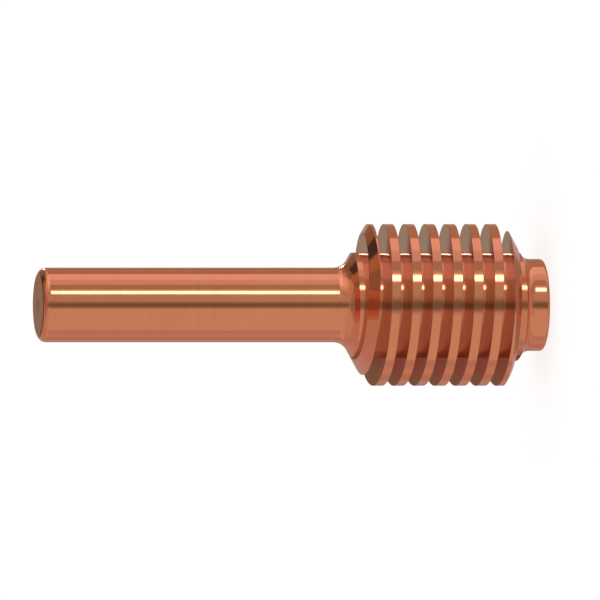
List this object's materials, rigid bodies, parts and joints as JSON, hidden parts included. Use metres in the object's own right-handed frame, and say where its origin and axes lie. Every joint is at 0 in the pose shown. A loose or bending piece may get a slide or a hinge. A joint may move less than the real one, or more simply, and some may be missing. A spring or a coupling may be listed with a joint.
{
  "type": "plasma torch electrode",
  "caption": "Turned copper electrode for a plasma cutting torch: round shank with a small emitter in its tip, helical cooling fins, and a short boss behind.",
  "frame": {"origin": "centre of the flat rear face of the boss, which the part stands on", "axes": "+Z along the electrode's axis from the rear face to the tip; +X is the side that is up in the picture and -Y the side that faces its camera"},
  "size_m": [0.0138, 0.0138, 0.0435],
  "materials": {
    "copper": "fine turned, bright",
    "emitter": "satin, ground flush"
  },
  "bodies": {
    "root": {"electrode_body": "copper", "hafnium_emitter": "emitter"}
  },
  "joints": []
}
